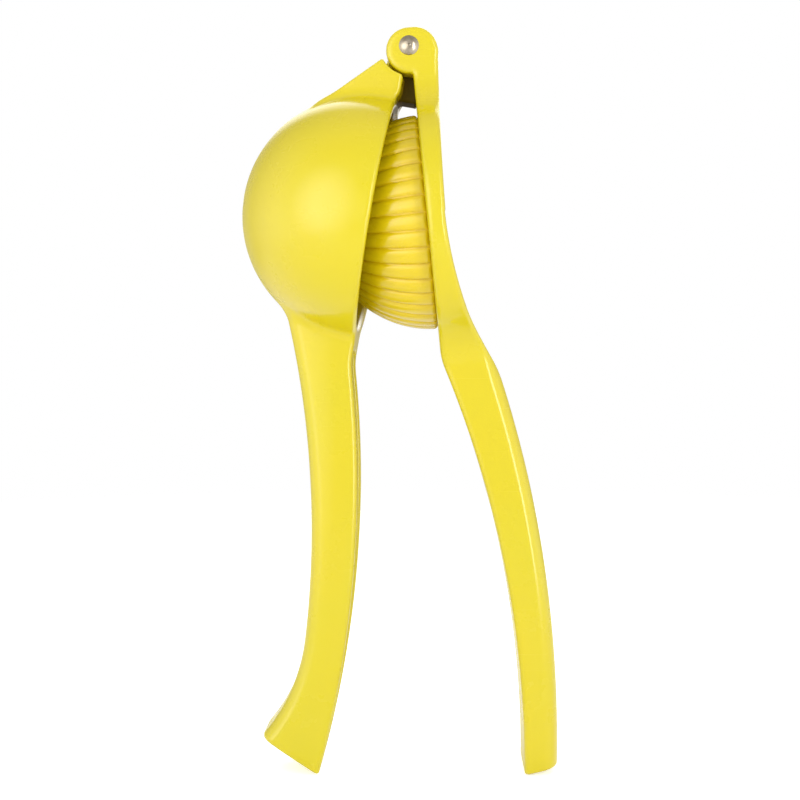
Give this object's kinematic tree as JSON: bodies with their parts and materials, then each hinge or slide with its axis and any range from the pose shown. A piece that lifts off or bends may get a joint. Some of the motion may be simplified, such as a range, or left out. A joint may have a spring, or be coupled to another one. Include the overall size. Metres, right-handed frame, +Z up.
{
  "type": "citrus squeezer",
  "caption": "Hand-held citrus squeezer: a deep perforated cup and a ribbed dome on two hinged cast handles, in glossy yellow enamel.",
  "frame": {"origin": "middle of the footprint, level with the two handle ends that the squeezer stands on", "axes": "+Z up, from the handle ends to the hinge; Y along the hinge pin; +X from the cup towards the plunger arm"},
  "size_m": [0.0934, 0.0726, 0.2187],
  "materials": {
    "yellow_enamel": "glossy enamel over cast aluminium",
    "polished_steel": "polished stainless steel"
  },
  "bodies": {
    "bowl_side": {"bowl_arm": "yellow_enamel"},
    "plunger_side": {"plunger_arm": "yellow_enamel", "hinge_pin": "polished_steel"}
  },
  "joints": [
    {"name": "hinge", "type": "hinge", "parent": "bowl_side", "child": "plunger_side", "pos_m": [0.00307, 0, 0.21299], "axis": [0, -1, 0], "range_deg": [-15.6, 105]}
  ]
}
